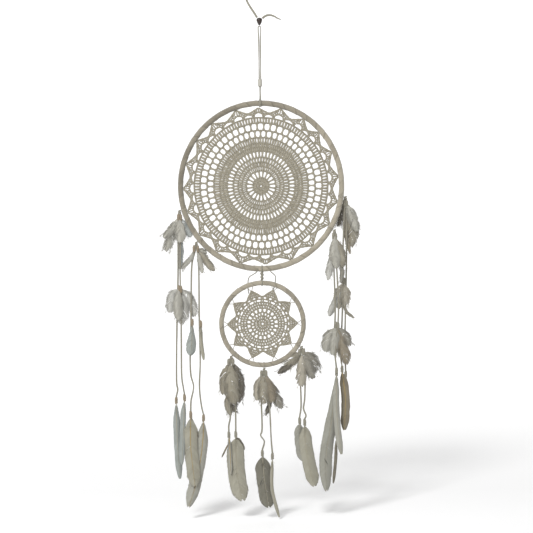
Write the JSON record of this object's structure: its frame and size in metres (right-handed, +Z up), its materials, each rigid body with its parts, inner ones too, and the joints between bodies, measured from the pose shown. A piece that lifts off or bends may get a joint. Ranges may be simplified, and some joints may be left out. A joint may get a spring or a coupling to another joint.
{
  "type": "dream catcher",
  "caption": "Hanging ornament: a large and a small taped hoop hold crocheted doilies, and folded suede cords carry downy tufts and long feathers.",
  "frame": {"origin": "inside of the hanging loop's bight, where a hook or pin carries it", "axes": "+Z up along the hanging line, the front faces -Y, +X is the viewer's right seen from the front"},
  "size_m": [0.3645, 0.0326, 1.0039],
  "materials": {
    "tape": "matte faux-suede tape wound round the hoop with overlapping edges",
    "rattan": "smooth dry cane",
    "yarn": "soft matte crocheted cotton",
    "cord": "matte faux-suede lace",
    "dark_wood": "dark satin lacquered wood",
    "pale_wood": "pale matte painted wood",
    "binding": "tightly wound faux-suede lace",
    "down": "soft fluffy grey down",
    "feather": "smooth feather vane with fine barbs and a golden quill"
  },
  "bodies": {
    "hanger": {"dark_bead": "dark_wood", "hanger_long_tail": "cord", "hanger_short_tail": "cord"},
    "hanging_loop": {"hanging_loop": "cord"},
    "hoop_tie": {"tube_bead": "pale_wood", "hoop_tie": "cord"},
    "large_ring": {"large_hoop": "rattan", "large_hoop_wrap": "tape", "large_doily": "yarn"},
    "small_ring": {"small_hoop": "rattan", "small_hoop_wrap": "tape", "star_doily": "yarn", "star_doily_lacing": "yarn", "hoop_link": "cord", "link_thread_left": "cord", "link_thread_right": "cord"},
    "left_outer_strand": {"left_outer_cord": "cord", "left_outer_tuft": "down", "left_outer_lower_tuft": "down"},
    "left_outer_pendant_a": {"left_outer_binding_a": "binding", "left_outer_feather_a": "feather"},
    "left_outer_pendant_b": {"left_outer_binding_b": "binding", "left_outer_feather_b": "feather"},
    "left_inner_strand": {"left_inner_cord": "cord", "left_inner_tuft": "down"},
    "left_inner_pendant_a": {"left_inner_binding_a": "binding", "left_inner_feather_a": "feather"},
    "left_inner_pendant_b": {"left_inner_binding_b": "binding", "left_inner_feather_b": "feather"},
    "small_left_strand": {"small_left_cord": "cord", "small_left_tuft": "down"},
    "small_left_pendant_a": {"small_left_binding_a": "binding", "small_left_feather_a": "feather"},
    "small_left_pendant_b": {"small_left_binding_b": "binding", "small_left_feather_b": "feather"},
    "small_middle_strand": {"small_middle_cord": "cord", "small_middle_tuft": "down"},
    "small_middle_pendant_a": {"small_middle_binding_a": "binding", "small_middle_feather_a": "feather"},
    "small_middle_pendant_b": {"small_middle_binding_b": "binding", "small_middle_feather_b": "feather"},
    "small_right_strand": {"small_right_cord": "cord", "small_right_tuft": "down"},
    "small_right_pendant_a": {"small_right_binding_a": "binding", "small_right_feather_a": "feather"},
    "small_right_pendant_b": {"small_right_binding_b": "binding", "small_right_feather_b": "feather"},
    "right_inner_strand": {"right_inner_cord": "cord", "right_inner_tuft": "down"},
    "right_inner_pendant_a": {"right_inner_binding_a": "binding", "right_inner_feather_a": "feather"},
    "right_inner_pendant_b": {"right_inner_binding_b": "binding", "right_inner_feather_b": "feather"},
    "right_outer_strand": {"right_outer_cord": "cord", "right_outer_tuft": "down", "right_outer_lower_tuft": "down"},
    "right_outer_pendant_a": {"right_outer_binding_a": "binding", "right_outer_feather_a": "feather"},
    "right_outer_pendant_b": {"right_outer_binding_b": "binding", "right_outer_feather_b": "feather"}
  },
  "joints": [
    {"name": "hanging_loop_sway", "type": "hinge", "parent": "hanger", "child": "hanging_loop", "pos_m": [0, 0, 0], "axis": [0, 1, 0], "range_deg": [-15, 15]},
    {"name": "hoop_turn", "type": "hinge", "parent": "hanging_loop", "child": "hoop_tie", "pos_m": [0, 0, -0.0985], "axis": [0, 0, 1], "range_deg": [-180, 180]},
    {"name": "large_ring_swing", "type": "hinge", "parent": "hoop_tie", "child": "large_ring", "pos_m": [0, 0, -0.14383], "axis": [1, 0, 0], "range_deg": [-20, 20]},
    {"name": "small_ring_swing", "type": "hinge", "parent": "large_ring", "child": "small_ring", "pos_m": [0, 0, -0.45817], "axis": [1, 0, 0], "range_deg": [-20, 20]},
    {"name": "left_outer_swing", "type": "hinge", "parent": "large_ring", "child": "left_outer_strand", "pos_m": [-0.15544, 0, -0.3477], "axis": [1, 0, 0], "range_deg": [-20, 20]},
    {"name": "left_outer_feather_a_swing", "type": "hinge", "parent": "left_outer_strand", "child": "left_outer_pendant_a", "pos_m": [-0.14944, -0.0016, -0.6955], "axis": [1, 0, 0], "range_deg": [-25, 0]},
    {"name": "left_outer_feather_b_swing", "type": "hinge", "parent": "left_outer_strand", "child": "left_outer_pendant_b", "pos_m": [-0.16544, 0.0016, -0.7005], "axis": [1, 0, 0], "range_deg": [0, 25]},
    {"name": "left_inner_swing", "type": "hinge", "parent": "large_ring", "child": "left_inner_strand", "pos_m": [-0.12403, 0, -0.40792], "axis": [1, 0, 0], "range_deg": [-20, 20]},
    {"name": "left_inner_feather_a_swing", "type": "hinge", "parent": "left_inner_strand", "child": "left_inner_pendant_a", "pos_m": [-0.13803, -0.0016, -0.72772], "axis": [1, 0, 0], "range_deg": [-25, 0]},
    {"name": "left_inner_feather_b_swing", "type": "hinge", "parent": "left_inner_strand", "child": "left_inner_pendant_b", "pos_m": [-0.11403, 0.0016, -0.73472], "axis": [1, 0, 0], "range_deg": [0, 25]},
    {"name": "small_left_swing", "type": "hinge", "parent": "small_ring", "child": "small_left_strand", "pos_m": [-0.05998, 0, -0.62511], "axis": [1, 0, 0], "range_deg": [-20, 20]},
    {"name": "small_left_feather_a_swing", "type": "hinge", "parent": "small_left_strand", "child": "small_left_pendant_a", "pos_m": [-0.06598, -0.0016, -0.76692], "axis": [1, 0, 0], "range_deg": [-25, 0]},
    {"name": "small_left_feather_b_swing", "type": "hinge", "parent": "small_left_strand", "child": "small_left_pendant_b", "pos_m": [-0.05298, 0.0016, -0.76692], "axis": [1, 0, 0], "range_deg": [0, 25]},
    {"name": "small_middle_swing", "type": "hinge", "parent": "small_ring", "child": "small_middle_strand", "pos_m": [0.00211, 0, -0.64932], "axis": [1, 0, 0], "range_deg": [-20, 20]},
    {"name": "small_middle_feather_a_swing", "type": "hinge", "parent": "small_middle_strand", "child": "small_middle_pendant_a", "pos_m": [-0.00289, 0.0016, -0.80312], "axis": [1, 0, 0], "range_deg": [0, 25]},
    {"name": "small_middle_feather_b_swing", "type": "hinge", "parent": "small_middle_strand", "child": "small_middle_pendant_b", "pos_m": [0.01611, -0.0016, -0.80812], "axis": [1, 0, 0], "range_deg": [-25, 0]},
    {"name": "small_right_swing", "type": "hinge", "parent": "small_ring", "child": "small_right_strand", "pos_m": [0.07362, 0, -0.60812], "axis": [1, 0, 0], "range_deg": [-20, 20]},
    {"name": "small_right_feather_a_swing", "type": "hinge", "parent": "small_right_strand", "child": "small_right_pendant_a", "pos_m": [0.06863, 0.0016, -0.74192], "axis": [1, 0, 0], "range_deg": [0, 25]},
    {"name": "small_right_feather_b_swing", "type": "hinge", "parent": "small_right_strand", "child": "small_right_pendant_b", "pos_m": [0.07812, -0.0016, -0.74492], "axis": [1, 0, 0], "range_deg": [-25, 0]},
    {"name": "right_inner_swing", "type": "hinge", "parent": "large_ring", "child": "right_inner_strand", "pos_m": [0.13821, -0.006, -0.38768], "axis": [1, 0, 0], "range_deg": [-20, 0]},
    {"name": "right_inner_feather_a_swing", "type": "hinge", "parent": "right_inner_strand", "child": "right_inner_pendant_a", "pos_m": [0.13921, -0.0095, -0.64648], "axis": [1, 0, 0], "range_deg": [-25, 0]},
    {"name": "right_inner_feather_b_swing", "type": "hinge", "parent": "right_inner_strand", "child": "right_inner_pendant_b", "pos_m": [0.13921, -0.0025, -0.65048], "axis": [1, 0, 0], "range_deg": [0, 25]},
    {"name": "right_outer_swing", "type": "hinge", "parent": "large_ring", "child": "right_outer_strand", "pos_m": [0.16038, 0.006, -0.32416], "axis": [1, 0, 0], "range_deg": [0, 20]},
    {"name": "right_outer_feather_a_swing", "type": "hinge", "parent": "right_outer_strand", "child": "right_outer_pendant_a", "pos_m": [0.15038, 0.0044, -0.64496], "axis": [1, 0, 0], "range_deg": [-25, 0]},
    {"name": "right_outer_feather_b_swing", "type": "hinge", "parent": "right_outer_strand", "child": "right_outer_pendant_b", "pos_m": [0.15738, 0.0076, -0.65496], "axis": [1, 0, 0], "range_deg": [0, 25]}
  ]
}
